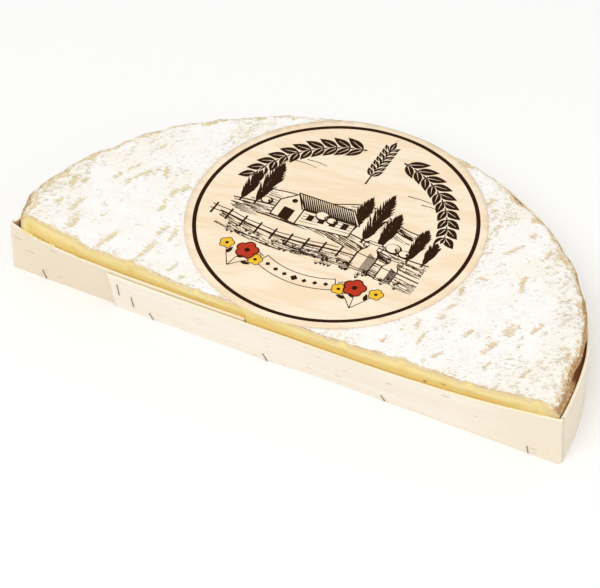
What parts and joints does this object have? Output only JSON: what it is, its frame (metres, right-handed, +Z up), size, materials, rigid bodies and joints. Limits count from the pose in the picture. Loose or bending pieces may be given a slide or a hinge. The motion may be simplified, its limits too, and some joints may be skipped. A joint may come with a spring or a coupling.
{
  "type": "half wheel of brie in a wooden tray",
  "caption": "Half wheel of soft white-rind cheese with a yellow cut face and a round paper label, in a half-round veneer tray.",
  "frame": {"origin": "on the supporting surface, under the middle of the whole's plan box", "axes": "+X along the cut, with the lap of the tray's wall on its -X side; +Y from the cut to the round back; +Z up"},
  "size_m": [0.362, 0.1866, 0.0462],
  "materials": {
    "cheese": "white mould rind with worn ochre marks; soft yellow paste on the cut",
    "label_paper": "matt cream paper with a faint grain and a dark brown printed ring",
    "veneer": "pale bare poplar veneer",
    "board": "pale bare poplar board",
    "staple_wire": "dull grey steel wire"
  },
  "bodies": {
    "root": {"cheese": "cheese", "label": "label_paper", "tray_wall": "veneer", "tray_board": "board", "staple_front_1": "staple_wire", "staple_front_2": "staple_wire", "staple_front_3": "staple_wire", "staple_front_4": "staple_wire", "staple_front_5": "staple_wire", "staple_front_6": "staple_wire", "staple_front_7": "staple_wire", "staple_back_1": "staple_wire", "staple_back_2": "staple_wire", "staple_back_3": "staple_wire", "staple_back_4": "staple_wire", "staple_back_5": "staple_wire"}
  },
  "joints": []
}
